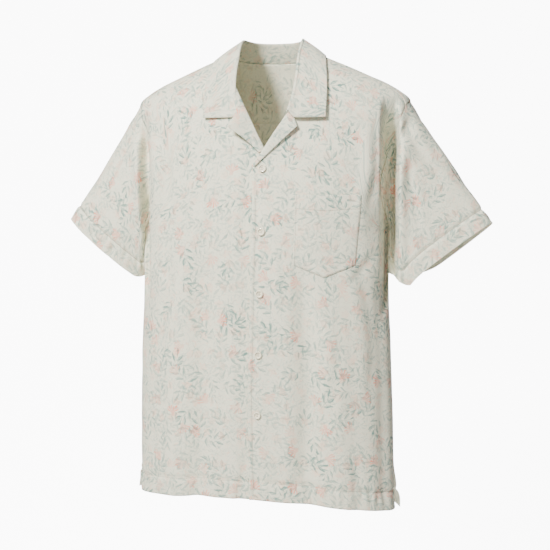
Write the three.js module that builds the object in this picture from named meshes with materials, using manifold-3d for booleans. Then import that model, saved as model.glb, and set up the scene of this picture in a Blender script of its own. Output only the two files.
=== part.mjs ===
// A short-sleeve shirt with an open, notched collar, filled out as if worn. Millimetres.
// +X is the wearer's left, the front faces -Y and +Z is up. The origin is the middle of the neck
// base, level with the points where the shoulders meet the neck.

import * as THREE from "three";
import { mergeVertices } from "three/addons/utils/BufferGeometryUtils.js";
import Module from "manifold-3d";

const wall = 1.3; // thickness of a cloth wall
const gap = 0.32; // space left between two pieces at a seam
const layer = wall + gap; // from a cloth's middle to the middle of the cloth lying on it

const edgeWidth = 15; // each front's edge lies this far past the centre line
const breakLevel = -184; // where the lapels start to turn out
const gorge = { x: 40, level: -103 }; // where the roll line meets the collar seam
const armpitLevel = -287;
const yokeLevel = -102; // seam of yoke and back
const seamTurn = { neck: 65, tip: 70 }; // forward shoulder seam, at the neck and at the armhole
const seamLevel = { neck: -4, tip: -86 };
const hemSide = -738.5; // hem at the side seams
const hemSlant = 7.5; // how much lower the wearer's left side hangs, and the right side higher
const hemRise = 20; // how much higher the front hem is at the centre
const hemBack = -745; // hem at the middle of the back
const ventLevel = -684; // top of the side vents
const ventFlare = 8; // how far the back's corner stands out at the vent

// Cuffs: middle, half width along their lean in degrees, depth, roundness, how far the front is
// above the back, and how far the point under the arm is drawn in towards the body
const cuffs = {
  left: { x: 286, level: -326.5, half: 87, depth: 34, lean: 37.4, power: 2.7, drop: 7, under: [-30, -38, 30] },
  right: { x: -287.7, level: -320, half: 81.5, depth: 34, lean: 39.9, power: 2, drop: 0, under: [3, -6, 9] },
};
const pocket = { top: -228, corner: -337, point: -356, topX: [51, 149], lowX: [48, 142] };
const buttons = { diameter: 12, thickness: 2.3, hole: 1.5, spread: 1.45, levels: [-187.5, -285, -382, -479, -577] };

// Level sections of the body: half width, depth in front and behind, roundness, shift in x
const sections = [
  { level: -780, half: 217, front: 84, back: 105, power: 2.35, sway: -10.5 },
  { level: -700, half: 215, front: 88, back: 104, power: 2.35, sway: -12.5 },
  { level: -600, half: 213, front: 94, back: 102, power: 2.35, sway: -13.2 },
  { level: -480, half: 209, front: 102, back: 100, power: 2.35, sway: -13.8 },
  { level: -380, half: 204.5, front: 108, back: 102, power: 2.35, sway: -13.7 },
  { level: -290, half: 204, front: 112, back: 106, power: 2.35, sway: -12 },
  { level: -230, half: 211, front: 111, back: 110, power: 2.35, sway: -7 },
  { level: -165, half: 222, front: 106, back: 112, power: 2.35, sway: -2 },
  { level: -100, half: 228, front: 95, back: 109, power: 2.3, sway: 0 },
  { level: -76, half: 222, front: 88, back: 106, power: 2.2, sway: 0 },
  { level: -63, half: 207, front: 84, back: 102, power: 2.15, sway: 0 },
  { level: -50, half: 185.5, front: 79, back: 98, power: 2.1, sway: 0 },
  { level: -36, half: 155, front: 72, back: 92, power: 2.05, sway: 0 },
  { level: -20, half: 119, front: 64, back: 84, power: 2, sway: 0 },
  { level: -10, half: 95, front: 58, back: 78, power: 2, sway: 0 },
  { level: 0, half: 74, front: 52, back: 72, power: 2, sway: 0 },
  { level: 8, half: 60, front: 42, back: 60, power: 2, sway: 0 },
  { level: 40, half: 12, front: 8, back: 12, power: 2, sway: 0 },
];

// Centre front line, in x
const centreLine = [
  { level: -760, x: -10 },
  { level: -577, x: -11 },
  { level: -477, x: -8 },
  { level: -381, x: -5 },
  { level: -285, x: -1.5 },
  { level: -188, x: 0 },
  { level: -100, x: 0 },
];

// Neck seam: turn about the neck from the centre front, in degrees, and level
const neckline = [
  { turn: 10.2, level: -103 },
  { turn: 13.5, level: -72 },
  { turn: 19.5, level: -45 },
  { turn: 31, level: -22 },
  { turn: 46, level: -10 },
  { turn: 65, level: -4 },
  { turn: 90, level: 0 },
  { turn: 120, level: -2.6 },
  { turn: 150, level: -4.5 },
  { turn: 180, level: -5 },
];

// Armhole, from the armpit up: turn of its front and of its back edge at each level
const armhole = [
  { level: -287, front: 90, back: 90 },
  { level: -284, front: 82.5, back: 97.5 },
  { level: -277, front: 75, back: 105 },
  { level: -266, front: 68.5, back: 111.5 },
  { level: -252, front: 63, back: 116.5 },
  { level: -234, front: 58.5, back: 120.5 },
  { level: -212, front: 55, back: 123.5 },
  { level: -188, front: 53.5, back: 124.8 },
  { level: -163, front: 54, back: 124.3 },
  { level: -138, front: 56.5, back: 121.5 },
  { level: -118, front: 60, back: 117.5 },
  { level: -102, front: 64.5, back: 112.5 },
  { level: -86, front: 70, back: 106 },
  { level: -79.5, front: 79, back: 99 },
  { level: -76.5, front: 90, back: 90 },
];

// Inner edge of a front above the armpit level, row by row with the armhole's rows
const innerLevels = [-287, -264, -240, -212, -184, -157, -130, -103, -72, -45, -22, -10, -4];

// Folds of the body: turn, sideways lean per 100 mm of height, half width in degrees,
// depth (a ridge where negative) and the levels between which it fades in and out
const bodyFolds = [
  { turn: -24, lean: 0.6, width: 6, depth: 5.5, top: -300, bottom: -800 },
  { turn: -38, lean: 0.4, width: 6, depth: -3.5, top: -330, bottom: -800 },
  { turn: 20, lean: -0.5, width: 6, depth: 5.5, top: -325, bottom: -800 },
  { turn: 34, lean: -0.6, width: 6, depth: -3.5, top: -390, bottom: -800 },
  { turn: 66, lean: 0.4, width: 7, depth: 4, top: -330, bottom: -800 },
  { turn: 47, lean: -1, width: 6, depth: -4.5, top: -110, bottom: -330 },
  { turn: -47, lean: 1, width: 6, depth: -4.5, top: -110, bottom: -330 },
  { turn: 150, lean: 0.7, width: 7, depth: 6, top: -260, bottom: -800 },
  { turn: 172, lean: -0.5, width: 6, depth: -3.5, top: -360, bottom: -800 },
  { turn: 201, lean: -0.6, width: 7, depth: 6, top: -300, bottom: -800 },
  { turn: 228, lean: 0.4, width: 6, depth: 4.5, top: -240, bottom: -640 },
];

// Collar, from the middle of the back to its front end: where it is sewn on, its fold and its edge
const collarRows = [
  { turn: 180, fold: [0, 60, 26], edge: [0, 88, -34] },
  { turn: 160, fold: [18, 57.5, 26], edge: [29, 85, -34] },
  { turn: 140, fold: [33, 49, 26], edge: [55, 75, -32] },
  { turn: 120, fold: [42.5, 35, 26], edge: [71, 55, -26] },
  { turn: 100, fold: [47.5, 17, 25.5], edge: [80, 29, -15] },
  { turn: 83, fold: [49, 0, 24], edge: [84, 2, -6] },
  { turn: 65, fold: [50, -18, 18], edge: [85.5, -22, -13] },
  { turn: 46, fold: [49.5, -36, 5], edge: [88.5, -44, -31] },
  { turn: 31, fold: [49, -52, -12], edge: [92, -61, -55] },
  { turn: 19.5, fold: [49.5, -70, -38], edge: [94, -76, -78] },
  { turn: 13.5, fold: [47.5, -87, -68], edge: [94, -86, -94] },
  { turn: 10.6, fold: [39.5, -98.6, -100.6], edge: [94, -92, -105.5] },
];
const foldGap = 2.1; // half the space inside the collar's fold, middle to middle
const notchDip = 5; // how far the collar's front edge dips beside the notch

// Lapel: distance along the roll line from the break, and width
const lapelLength = Math.hypot(gorge.x + edgeWidth, gorge.level - breakLevel);
const lapelWidths = [
  { along: 1, width: 3 },
  { along: 30, width: 9.5 },
  { along: 60, width: 18.5 },
  { along: 85, width: 25.6 },
  { along: 91.5, width: 17.5 },
  { along: lapelLength - 0.4, width: 9.6 },
];

const radians = THREE.MathUtils.degToRad;
const vec = (x, y, z) => new THREE.Vector3(x, y, z);
const mix = THREE.MathUtils.lerp;
const clamp = THREE.MathUtils.clamp;
const ease = (t) => {
  const s = clamp(t, 0, 1);
  return s * s * (3 - 2 * s);
};

// A smooth function through one column of a table, read at another column, without overshoot.
function through(table, key, name) {
  const rows = [...table].sort((a, b) => a[key] - b[key]);
  const at = rows.map((row) => row[key]);
  const value = rows.map((row) => row[name]);
  const rise = at.slice(1).map((a, i) => (value[i + 1] - value[i]) / (a - at[i]));
  const slope = at.map((_, i) => {
    if (i === 0) return rise[0];
    if (i === at.length - 1) return rise[i - 1];
    const a = rise[i - 1];
    const b = rise[i];
    return a * b <= 0 ? 0 : (2 * a * b) / (a + b);
  });
  return (x) => {
    const c = clamp(x, at[0], at[at.length - 1]);
    let i = 0;
    while (i < at.length - 2 && c > at[i + 1]) i++;
    const w = at[i + 1] - at[i];
    const t = (c - at[i]) / w;
    return (
      value[i] * (1 + 2 * t) * (1 - t) ** 2 + slope[i] * w * t * (1 - t) ** 2 +
      value[i + 1] * t * t * (3 - 2 * t) + slope[i + 1] * w * t * t * (t - 1)
    );
  };
}

const halfAt = through(sections, "level", "half");
const frontAt = through(sections, "level", "front");
const backAt = through(sections, "level", "back");
const powerAt = through(sections, "level", "power");
const swayAt = through(sections, "level", "sway");
const centreAt = through(centreLine, "level", "x");
const neckLevel = through(neckline, "turn", "level");
const lapelWidth = through(lapelWidths, "along", "width");

// The body without its folds: a rounded section at each level, turned from the centre front.
function bodyForm(turn, level) {
  const s = Math.sin(radians(turn));
  const c = Math.cos(radians(turn));
  const p = powerAt(level);
  const r = (Math.abs(s) ** p + Math.abs(c) ** p) ** (-1 / p);
  const depth = c > 0 ? frontAt(level) : backAt(level);
  return vec(swayAt(level) + halfAt(level) * r * s, -depth * r * c, level);
}

function bodyNormal(turn, level) {
  const across = bodyForm(turn + 0.5, level).sub(bodyForm(turn - 0.5, level));
  const up = bodyForm(turn, level + 0.5).sub(bodyForm(turn, level - 0.5));
  return across.cross(up).normalize();
}

// How far the folds move the cloth out at a place on the body.
function foldOut(turn, level) {
  const around = turn < -90 ? turn + 360 : turn;
  let out = 0;
  for (const f of bodyFolds) {
    const centre = f.turn + (f.lean * (level - f.top)) / 100;
    const fade = ease((f.top - level) / 90) * ease((level - f.bottom) / 90);
    out -= f.depth * fade * Math.exp(-(((around - centre) / f.width) ** 2));
  }
  return out;
}

function bodyPlace(turn, level, out = 0) {
  const normal = bodyNormal(turn, level);
  const point = bodyForm(turn, level).addScaledVector(normal, out + foldOut(turn, level));
  return { point, normal };
}

// The turn at which the front of the body has a given x.
function turnAt(x, level) {
  const across = clamp((x - swayAt(level)) / halfAt(level), -0.999, 0.999);
  const p = powerAt(level);
  return THREE.MathUtils.radToDeg(Math.atan2(across, (1 - Math.abs(across) ** p) ** (1 / p)));
}

// Signed distance of a point from the body's form, and the way out of it.
function bodyDistance(point) {
  const value = (x, y, z) => {
    const p = powerAt(z);
    const depth = y < 0 ? frontAt(z) : backAt(z);
    return (Math.abs((x - swayAt(z)) / halfAt(z)) ** p + Math.abs(y / depth) ** p) ** (1 / p) - 1;
  };
  const { x, y, z } = point;
  const slope = vec(
    value(x + 0.5, y, z) - value(x - 0.5, y, z),
    value(x, y + 0.5, z) - value(x, y - 0.5, z),
    value(x, y, z + 0.5) - value(x, y, z - 0.5),
  );
  return { distance: value(x, y, z) / slope.length(), way: slope.normalize() };
}

// Moves a point out until it lies at least so far above the body.
function lift(point, clear) {
  for (let i = 0; i < 4; i++) {
    const { distance, way } = bodyDistance(point);
    if (distance >= clear) break;
    point.addScaledVector(way, clear - distance);
  }
  return point;
}

// Normals of a grid of points; across rounds of the grid where it closes on itself.
function gridNormals(points, round, sign = 1) {
  const last = points.length - 1;
  return points.map((row, i) =>
    row.map((_, j) => {
      const n = row.length;
      const right = round ? (j + 1) % n : Math.min(j + 1, n - 1);
      const left = round ? (j + n - 1) % n : Math.max(j - 1, 0);
      const along = row[right].clone().sub(row[left]);
      const up = points[Math.min(i + 1, last)][j].clone().sub(points[Math.max(i - 1, 0)][j]);
      return along.cross(up).multiplyScalar(sign).normalize();
    }),
  );
}

// A closed wall of cloth about a grid of middle points: one skin half the wall out along the
// normals, one half the wall in, and the two joined along every free edge.
function clothWall(points, normals, { round = false, thick = wall } = {}) {
  const columns = points[0].length;
  const count = points.length * columns;
  const position = new Float32Array(count * 6);
  points.flat().forEach((p, k) => {
    const n = normals.flat()[k];
    p.clone().addScaledVector(n, thick / 2).toArray(position, 3 * k);
    p.clone().addScaledVector(n, -thick / 2).toArray(position, 3 * (k + count));
  });
  const skin = [];
  const lastColumn = round ? columns : columns - 1;
  for (let i = 0; i < points.length - 1; i++)
    for (let j = 0; j < lastColumn; j++) {
      const a = i * columns + j;
      const b = i * columns + ((j + 1) % columns);
      skin.push([a, b, b + columns], [a, b + columns, a + columns]);
    }
  // the skin's triangles run so that they face along the normals
  const [a, b, c] = [points[0][0], points[0][1], points[1][1]];
  const facing = b.clone().sub(a).cross(c.clone().sub(a)).dot(normals[0][0]);
  if (facing < 0) skin.forEach((t) => t.reverse());
  const edges = new Set(skin.flatMap(([p, q, r]) => [`${p},${q}`, `${q},${r}`, `${r},${p}`]));
  const index = [];
  for (const [p, q, r] of skin) {
    index.push(p, q, r, p + count, r + count, q + count);
    for (const [s, t] of [[p, q], [q, r], [r, p]])
      if (!edges.has(`${t},${s}`)) index.push(t, s, s + count, t, s + count, t + count);
  }
  const geometry = new THREE.BufferGeometry();
  geometry.setAttribute("position", new THREE.BufferAttribute(position, 3));
  geometry.setIndex(index);
  geometry.computeVertexNormals();
  return geometry;
}

// A wall on the body from rows of places, each a turn, a level and a distance out.
function bodyWall(rows) {
  const places = rows.map((row) => row.map(({ turn, level, out }) => bodyPlace(turn, level, out)));
  return clothWall(
    places.map((row) => row.map((place) => place.point)),
    places.map((row) => row.map((place) => place.normal)),
  );
}

// Hem level around the body: raised at the centre front, level at the back.
function hemLevel(turn) {
  const c = Math.cos(radians(turn));
  const side = hemSide - hemSlant * Math.sin(radians(turn));
  return c > 0 ? side + hemRise * c * c : mix(side, hemBack, c * c);
}

// The right front lies under the left one where they lap over.
function tuck(turn, level, side) {
  if (side > 0) return 0;
  const x = bodyForm(turn, level).x - centreAt(level);
  return -(layer + 0.05) * ease((x + 44) / 25);
}

// Side seam: a turn a little short of the side, so that front and back leave the gap.
const seamShort = THREE.MathUtils.radToDeg(gap / 2 / 105);

// A front, side 1 for the wearer's left and -1 for the right: rows from the hem up to the
// armpit, then on to the forward shoulder seam; each from the centre edge to the side.
function frontPanel(side) {
  const lowerRows = 12;
  const columns = 15;
  const rows = [];
  for (let i = 0; i < lowerRows; i++) rows.push({ low: i / lowerRows });
  innerLevels.forEach((level, i) => rows.push({ level, outer: armhole[i] }));
  return bodyWall(
    rows.map(({ low, level, outer }, i) => {
      const row = [];
      for (let j = 0; j <= columns; j++) {
        const u = j / columns;
        if (low !== undefined) {
          const guess = mix(hemSide, armpitLevel, low);
          const inner = turnAt(centreAt(guess) - side * edgeWidth, guess);
          const turn = mix(inner, side * (90 - seamShort), u);
          const at = mix(hemLevel(turn), armpitLevel, low);
          row.push({ turn, level: at, out: tuck(turn, at, side) });
          continue;
        }
        const innerTurn = frontEdgeTurn(level, side);
        const end = outer.front === 90 ? 90 - seamShort : outer.front;
        const turn = mix(innerTurn, side * end, u);
        const at = mix(level, outer.level, u);
        const short = i === rows.length - 1 ? side * 0.1 : 0;
        row.push({ turn: turn - short, level: at, out: tuck(turn, at, side) });
      }
      return row;
    }),
  );
}

// Centre edge of a front: straight up to the break, along the roll line to the gorge, then
// along the neck seam.
function frontEdgeTurn(level, side) {
  if (level <= breakLevel) return turnAt(centreAt(level) - side * edgeWidth, level);
  if (level <= gorge.level) return turnAt(side * rollX(level), level);
  return side * neckline.find((row) => row.level === level).turn;
}

function rollX(level) {
  return mix(-edgeWidth, gorge.x, (level - breakLevel) / (gorge.level - breakLevel));
}

// The back, from the hem to the yoke seam; its sides follow the side seams and the armholes,
// and below the vents its corners flare out.
function backPanel() {
  const lowerRows = 12;
  const columns = 22;
  const rows = [];
  for (let i = 0; i < lowerRows; i++) rows.push({ low: i / lowerRows, edge: 90 });
  for (const { level, back } of armhole)
    if (level <= yokeLevel) rows.push({ level: level === yokeLevel ? level - gap / 2 : level, edge: back });
  return bodyWall(
    rows.map(({ low, level, edge }) => {
      const row = [];
      const start = edge === 90 ? 90 + seamShort : edge;
      for (let j = 0; j <= columns; j++) {
        const turn = mix(start, 360 - start, j / columns);
        const at = low === undefined ? level : mix(hemLevel(turn), armpitLevel, low);
        const side = Math.max(0, 1 - Math.min(turn - 90, 270 - turn) / 22);
        const flare = ventFlare * side ** 2 * ease((ventLevel + 20 - at) / 75);
        row.push({ turn, level: at, out: flare });
      }
      return row;
    }),
  );
}

// The yoke, over both shoulders: each row runs from one forward seam round the back of the
// neck to the other, and the rows step from the neck out to the armholes and the back seam.
function yokePanel() {
  const steps = 7;
  const inner = [seamTurn.neck, 72, 81, 90, 100, 110];
  const outer = armhole.filter((row) => row.level >= seamLevel.tip).map((row) => ({ turn: row.front, level: row.level }));
  const behind = armhole.filter((row) => row.level >= yokeLevel && row.back > 90);
  behind.reverse().forEach((row) => outer.push({ turn: row.back, level: row.level }));
  const corner = outer[outer.length - 1].turn;
  for (let i = 1; i <= 8; i++) {
    inner.push(mix(110, 180, i / 8));
    outer.push({ turn: mix(corner, 180, i / 8), level: yokeLevel });
  }
  outer.forEach((place) => {
    if (place.level === yokeLevel) place.level += gap / 2;
  });
  const rows = [];
  for (let i = 0; i <= steps; i++) {
    const v = i / steps;
    const half = inner.map((turn, k) => ({
      turn: mix(turn, outer[k].turn, v) + (k === 0 ? 0.1 : 0),
      level: mix(neckLevel(turn), outer[k].level, v),
      out: 0,
    }));
    const other = half.slice(0, -1).reverse().map((place) => ({ ...place, turn: 360 - place.turn }));
    rows.push([...half, ...other]);
  }
  return bodyWall(rows);
}

// A sleeve: smooth curves from the armhole's points to the cuff, an oval across the sleeve's
// axis that leans out from straight down. The curves leave the armhole along the body's cloth.
function sleeve(side) {
  const steps = 10;
  const front = armhole.map((row) => ({ turn: row.front, level: row.level }));
  const behind = armhole.slice(1, -1).reverse().map((row) => ({ turn: row.back, level: row.level }));
  const loop = [...front, ...behind].map(({ turn, level }) => bodyPlace(side * turn, level));
  const n = loop.length;
  const top = front.length - 1;
  const reach = loop.map(() => 0);
  for (let j = 1; j < n; j++) reach[j] = reach[j - 1] + loop[j].point.distanceTo(loop[j - 1].point);
  const whole = reach[n - 1] + loop[0].point.distanceTo(loop[n - 1].point);
  const cuff = side > 0 ? cuffs.left : cuffs.right;
  const lean = radians(cuff.lean);
  const axis = vec(side * Math.sin(lean), 0, -Math.cos(lean));
  const across = vec(side * Math.cos(lean), 0, Math.sin(lean));
  const rows = [];
  for (let i = 0; i <= steps; i++) rows.push([]);
  loop.forEach(({ point, normal }, j) => {
    const angle = j <= top
      ? Math.PI * (1 - reach[j] / reach[top])
      : -Math.PI * ((reach[j] - reach[top]) / (whole - reach[top]));
    const [c, s] = [Math.cos(angle), Math.sin(angle)];
    const r = (Math.abs(c) ** cuff.power + Math.abs(s) ** cuff.power) ** (-1 / cuff.power);
    const inner = ease((Math.abs(angle) - radians(angle > 0 ? 143 : 100)) / radians(angle > 0 ? 37 : 80));
    const rim = vec(cuff.x, -cuff.depth * r * s, cuff.level + cuff.drop * s)
      .addScaledVector(across, cuff.half * r * c)
      .addScaledVector(vec(...cuff.under), inner);
    const tangent = loop[(j + 1) % n].point.clone().sub(loop[(j + n - 1) % n].point).normalize();
    const away = tangent.clone().cross(normal).normalize();
    if (away.dot(vec(side, 0, -0.2)) < 0 && j > 3 && j < n - 3) away.negate();
    if (j <= 3 || j >= n - 3) if (away.z < 0) away.negate();
    const under = ease((0.25 - away.dot(axis)) / 0.6);
    const start = point.clone()
      .addScaledVector(away, mix(gap + 0.35, 0, under))
      .addScaledVector(normal, mix(0, layer + 0.25, under));
    const leave = away.clone().multiplyScalar(mix(side > 0 ? 58 : 40, 0, under))
      .addScaledVector(normal, 22 * under)
      .addScaledVector(axis, 30 * under);
    const arrive = axis.clone().multiplyScalar(70)
      .lerp(vec(0, -22, -50), side > 0 ? inner : 0);
    for (let i = 0; i <= steps; i++) {
      const t = i / steps;
      const h = [(1 + 2 * t) * (1 - t) ** 2, t * (1 - t) ** 2, t * t * (3 - 2 * t), t * t * (t - 1)];
      const place = start.clone().multiplyScalar(h[0]).addScaledVector(leave, h[1])
        .addScaledVector(rim, h[2]).addScaledVector(arrive, h[3]);
      rows[i].push(i > 1 && under > 0.5 ? lift(place, layer + 0.4) : place);
    }
  });
  const normals = gridNormals(rows, true, 1);
  const outward = rows[5][top].clone().sub(rows[5][0]).dot(normals[5][top]) > 0 ? 1 : -1;
  normals.flat().forEach((normal) => normal.multiplyScalar(outward));
  return clothWall(rows, normals, { round: true });
}

// The collar: from the neck seam up its stand, round the fold and down its leaf.
function collar() {
  const table = collarRows.map(({ turn, fold, edge }, k) => {
    const { point, normal } = bodyPlace(turn, neckLevel(turn));
    const before = bodyForm(turn + 1, neckLevel(turn + 1));
    const after = bodyForm(turn - 1, neckLevel(turn - 1));
    const away = after.sub(before).cross(normal).normalize();
    if (away.z < 0) away.negate();
    point.addScaledVector(away, mix(0.75, 1.45, ease((k - 7) / 2))).addScaledVector(normal, -0.25);
    return {
      k,
      seamX: point.x, seamY: point.y, seamZ: point.z,
      foldX: fold[0], foldY: fold[1], foldZ: fold[2],
      edgeX: edge[0], edgeY: edge[1], edgeZ: edge[2],
    };
  });
  const at = {};
  for (const name of Object.keys(table[0])) at[name] = through(table, "k", name);
  const place = (name, k) => vec(at[name + "X"](k), at[name + "Y"](k), at[name + "Z"](k));
  const last = collarRows.length - 1;
  const half = [];
  for (let i = 0; i <= 22; i++) {
    const k = (last * i) / 22;
    const seam = place("seam", k);
    const fold = place("fold", k);
    const edge = lift(place("edge", k), layer + 1.4);
    const end = ease((k - last + 0.9) / 0.9);
    const outward = edge.clone().sub(fold).setZ(0).normalize();
    const rise = fold.clone().sub(seam);
    const into = fold.clone().addScaledVector(outward, -foldGap);
    const over = fold.clone().addScaledVector(outward, foldGap);
    const column = [];
    for (let s = 0; s <= 3; s++) column.push(seam.clone().lerp(into, s / 3.4));
    for (let s = 0; s <= 4; s++) {
      const a = (Math.PI * s) / 4;
      const tip = fold.clone().addScaledVector(outward, -foldGap * Math.cos(a));
      column.push(tip.add(vec(0, 0, foldGap * (Math.sin(a) - 0.4) * mix(1, 0.6, end))));
    }
    for (let s = 1; s <= 5; s++) {
      const v = s / 5;
      const dip = end * notchDip * (v / 0.2) * Math.exp(1 - v / 0.2);
      const leaf = over.clone().lerp(edge, v).add(vec(0, 0, -dip));
      column.push(lift(leaf, layer + mix(1.6, 1.4, v)));
    }
    if (rise.length() < 0.1) throw new Error("the collar's stand is too short");
    half.push(column);
  }
  const mirrored = half.slice(1).reverse().map((column) => column.map((p) => vec(-p.x, p.y, p.z)));
  const points = [...mirrored, ...half];
  return clothWall(points, gridNormals(points, false, 1));
}

// A lapel: the part of a front, with its facing, that turns out along the roll line. Across,
// it starts beside the front's edge, curls over it and lies on the front.
function lapel(side) {
  const across = [
    { in: -0.98, out: -0.6 },
    { in: -0.98, out: 0.75 },
    { in: -0.35, out: 2.05 },
    { in: 1.1, out: 2.75 },
  ];
  const from = side > 0 ? lapelWidths[0].along : 30;
  const stations = side > 0 ? [from, 15, 30, 45, 60, 73, 85, 88, 91.5] : [from, 38, 49, 60, 73, 85, 88, 91.5];
  stations.push(lapelLength - 0.4);
  const roll = vec(gorge.x + edgeWidth, 0, gorge.level - breakLevel).normalize();
  const square = vec(roll.z, 0, -roll.x);
  const rows = stations.map((along) => {
    const width = lapelWidth(along);
    const turned = side > 0 ? 0 : ease((45 - along) / 15) * radians(-22);
    const way = square.clone().applyAxisAngle(vec(0, 1, 0), -turned);
    const scale = 1 / way.dot(square);
    const foot = vec(-edgeWidth, 0, breakLevel).addScaledVector(roll, along);
    const cells = across.map((c) => ({ d: c.in * scale, out: c.out }));
    for (const u of [0.4, 0.7, 1]) cells.push({ d: Math.max(width * scale * u, 1.4 + u), out: mix(2.75, 2.3, u) });
    return cells.map(({ d, out }) => {
      const p = foot.clone().addScaledVector(way, d);
      const turn = turnAt(side * p.x, p.z);
      return bodyPlace(turn, p.z, out + tuck(turn, p.z, side)).point;
    });
  });
  return clothWall(rows, gridNormals(rows, false, side));
}

// The chest pocket, on the left front's surface moved out by one layer.
function pocketPanel() {
  const rows = [];
  for (let i = 0; i <= 8; i++) {
    const v = i / 8;
    const row = [];
    for (let j = 0; j <= 8; j++) {
      const u = j / 8;
      const low = mix(pocket.point, pocket.corner, Math.abs(2 * u - 1));
      const level = mix(low, pocket.top, v);
      const x = mix(mix(pocket.lowX[0], pocket.topX[0], v), mix(pocket.lowX[1], pocket.topX[1], v), u);
      row.push({ turn: turnAt(x, level), level, out: layer + 0.6 });
    }
    rows.push(row);
  }
  return bodyWall(rows);
}

const wasm = await Module();
wasm.setup();

function toSolid(geometry) {
  const bare = geometry.clone();
  bare.deleteAttribute("normal");
  bare.deleteAttribute("uv");
  const merged = mergeVertices(bare);
  return new wasm.Manifold(
    new wasm.Mesh({
      numProp: 3,
      vertProperties: merged.attributes.position.array,
      triVerts: new Uint32Array(merged.index.array),
    }),
  );
}

// A button about its own axis: a disc with a raised rim and four holes through its well.
function buttonGeometry() {
  const r = buttons.diameter / 2;
  const t = buttons.thickness;
  const profile = [
    [0, 0], [r - 1.2, 0], [r, 0.9], [r - 0.3, t - 0.25], [r - 1.1, t], [r - 2, t - 0.75], [0, t - 0.75],
  ].map(([x, y]) => new THREE.Vector2(x, y));
  let solid = toSolid(new THREE.LatheGeometry(profile, 18));
  for (const [x, z] of [[1, 1], [1, -1], [-1, 1], [-1, -1]]) {
    const hole = new THREE.CylinderGeometry(buttons.hole / 2, buttons.hole / 2, 3 * t, 8);
    hole.translate(x * buttons.spread, t / 2, z * buttons.spread);
    solid = solid.subtract(toSolid(hole));
  }
  const mesh = solid.getMesh();
  const geometry = new THREE.BufferGeometry();
  geometry.setAttribute("position", new THREE.BufferAttribute(new Float32Array(mesh.vertProperties), 3));
  geometry.setIndex(Array.from(mesh.triVerts));
  geometry.computeVertexNormals();
  return geometry;
}

const clothColor = 0xd6d5cb;
const clothMaterial = (color = clothColor) =>
  new THREE.MeshStandardMaterial({ color, roughness: 0.86, metalness: 0, side: THREE.DoubleSide });

const shirt = new THREE.Group();
function addPiece(name, geometry, material = clothMaterial()) {
  const mesh = new THREE.Mesh(geometry, material);
  mesh.name = name;
  shirt.add(mesh);
  return mesh;
}

addPiece("back", backPanel());
addPiece("yoke", yokePanel());
addPiece("front_left", frontPanel(1));
addPiece("front_right", frontPanel(-1));
addPiece("sleeve_left", sleeve(1));
addPiece("sleeve_right", sleeve(-1));
addPiece("collar", collar(), clothMaterial(0xdad9d0));
addPiece("facing_left", lapel(1), clothMaterial(0xdad9d0));
addPiece("facing_right", lapel(-1), clothMaterial(0xdad9d0));
addPiece("pocket", pocketPanel());

const buttonShape = buttonGeometry();
buttons.levels.forEach((level, i) => {
  const { point, normal } = bodyPlace(turnAt(centreAt(level), level), level);
  const button = addPiece(
    `button_${i + 1}`,
    buttonShape,
    new THREE.MeshStandardMaterial({ color: 0xd9d3c2, roughness: 0.4, metalness: 0 }),
  );
  button.position.copy(point).addScaledVector(normal, wall / 2 + gap + 0.15);
  button.quaternion.setFromUnitVectors(vec(0, 1, 0), normal);
});

export default shirt;
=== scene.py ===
import math
import bpy
import numpy as np
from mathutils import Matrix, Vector


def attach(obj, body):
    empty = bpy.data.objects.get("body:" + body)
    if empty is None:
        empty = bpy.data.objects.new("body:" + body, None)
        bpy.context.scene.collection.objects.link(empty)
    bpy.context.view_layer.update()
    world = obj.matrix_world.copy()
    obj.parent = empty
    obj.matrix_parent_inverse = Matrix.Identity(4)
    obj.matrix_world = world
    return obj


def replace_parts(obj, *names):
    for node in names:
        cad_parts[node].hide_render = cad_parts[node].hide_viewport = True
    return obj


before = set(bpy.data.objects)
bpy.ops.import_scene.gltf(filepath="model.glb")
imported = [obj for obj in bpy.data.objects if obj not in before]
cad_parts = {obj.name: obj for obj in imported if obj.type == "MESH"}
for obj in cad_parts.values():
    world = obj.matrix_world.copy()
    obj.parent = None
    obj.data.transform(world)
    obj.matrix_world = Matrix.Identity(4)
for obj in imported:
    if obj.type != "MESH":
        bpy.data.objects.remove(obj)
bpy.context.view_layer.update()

scene = bpy.context.scene

# Camera, stage and light, in metres, degrees and watts

camera = {"yaw": -9.0, "pitch": 4.6, "target": (0.0025, 0.0, -0.361), "distance": 1.6,
          "lens": 62.8, "sensor": 36, "far": 50}


def addObject(name, data):
    made = bpy.data.objects.new(name, data)
    scene.collection.objects.link(made)
    return made


# The camera stands back from its target, against the way that the yaw and the pitch give.
def addCamera():
    yaw, pitch = math.radians(camera["yaw"]), math.radians(camera["pitch"])
    look = Vector((math.sin(yaw) * math.cos(pitch), math.cos(yaw) * math.cos(pitch), -math.sin(pitch)))
    data = bpy.data.cameras.new("camera")
    data.lens, data.sensor_width, data.clip_end = camera["lens"], camera["sensor"], camera["far"]
    made = addObject("camera", data)
    made.location = Vector(camera["target"]) - look * camera["distance"]
    made.rotation_euler = look.to_track_quat("-Z", "Y").to_euler()
    scene.camera = made
    return look


# A lamp's numbers are its place, power and size.
stage = {
    "floor": -1.75, "size": 7.0, "backdrop": 2.1, "half": 1.1, "glow": 9.0, "paint": (0.9, 0.9, 0.9, 1),
    "sky": (0.97, 0.985, 1.0, 1), "skyStrength": 0.19, "aim": (0, 0, -0.36),
    "lamps": {"key": ((-0.88, -2.25, 1.3), 225, 0.6), "fill": ((0.3, -2.4, 0.5), 12, 1.2),
              "top": ((0.1, -0.5, 2.2), 16, 1.6)},
}


# A new material with its node tree and its shader's sockets.
def newMaterial(name):
    material = bpy.data.materials.new(name)
    material.use_nodes = True
    return material, material.node_tree, material.node_tree.nodes["Principled BSDF"].inputs


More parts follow.
